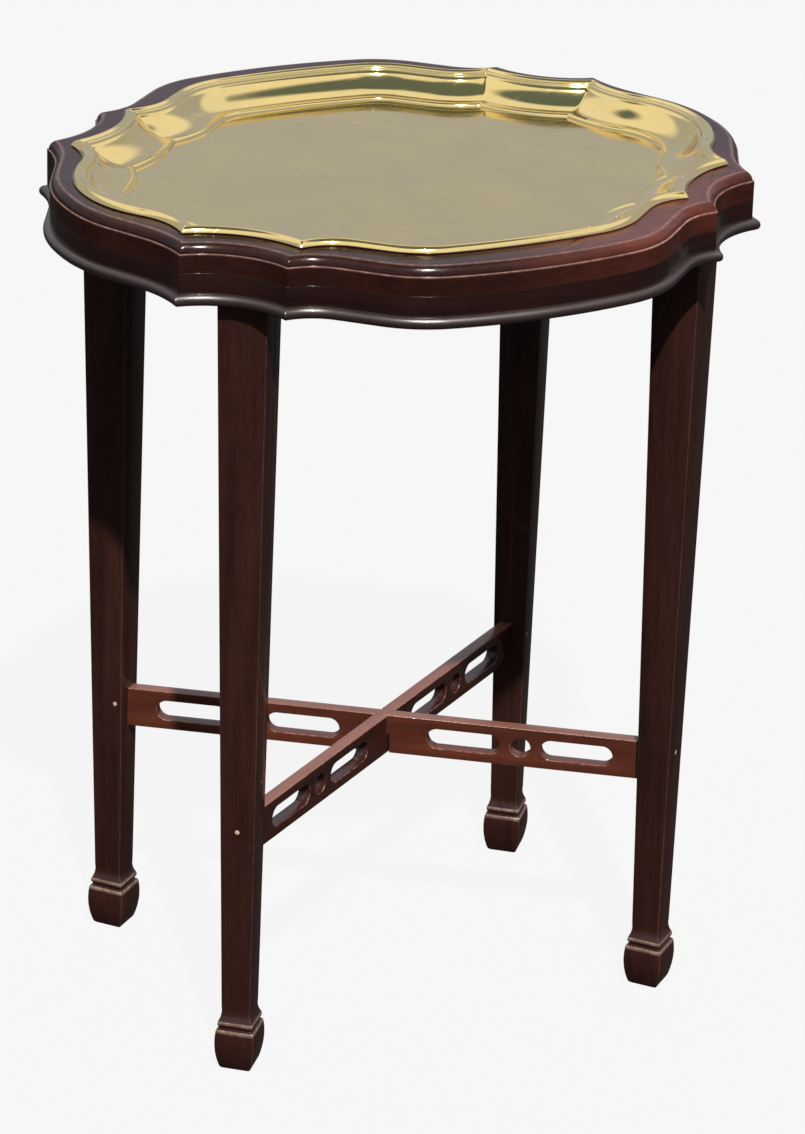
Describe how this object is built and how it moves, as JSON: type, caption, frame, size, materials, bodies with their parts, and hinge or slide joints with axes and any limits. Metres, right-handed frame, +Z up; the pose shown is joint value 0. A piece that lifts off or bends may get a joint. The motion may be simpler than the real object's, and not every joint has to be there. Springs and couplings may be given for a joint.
{
  "type": "tray table",
  "caption": "Tall wooden side table with a scalloped moulded top, tapered square legs, crossed pierced stretchers and a lift-off dished brass tray.",
  "frame": {"origin": "centre of the bounding box on the floor, midway between the feet", "axes": "+Z up, +X along the long way of the top, +Y across it towards the back"},
  "size_m": [0.4962, 0.4528, 0.61],
  "materials": {
    "mahogany_top": "glossy lacquer, worn pale on the front arris",
    "mahogany_apron": "glossy lacquer, very dark",
    "mahogany_bead": "glossy lacquer, very dark",
    "mahogany_leg": "satin lacquer with upright grain",
    "mahogany_stretcher": "satin lacquer, redder than the legs",
    "brad_steel": "bright wire",
    "wood_filler": "pale tan filler",
    "polished_brass": "polished, lightly scuffed in the well"
  },
  "bodies": {
    "table": {"top_board": "mahogany_top", "apron_right": "mahogany_apron", "apron_back_right": "mahogany_apron", "apron_back": "mahogany_apron", "apron_back_left": "mahogany_apron", "apron_left": "mahogany_apron", "apron_front_left": "mahogany_apron", "apron_front": "mahogany_apron", "apron_front_right": "mahogany_apron", "bead_right": "mahogany_bead", "bead_back_right": "mahogany_bead", "bead_back": "mahogany_bead", "bead_back_left": "mahogany_bead", "bead_left": "mahogany_bead", "bead_front_left": "mahogany_bead", "bead_front": "mahogany_bead", "bead_front_right": "mahogany_bead", "leg_back_right": "mahogany_leg", "leg_back_left": "mahogany_leg", "leg_front_left": "mahogany_leg", "leg_front_right": "mahogany_leg", "stretcher_front_left_to_back_right": "mahogany_stretcher", "stretcher_back_left_to_front_right": "mahogany_stretcher", "stretcher_brads": "brad_steel", "putty_plugs": "wood_filler"},
    "tray": {"brass_tray": "polished_brass"}
  },
  "joints": [
    {"name": "tray_lift", "type": "slide", "parent": "table", "child": "tray", "axis": [0, 0, 1], "range_m": [0, 0.15]}
  ]
}
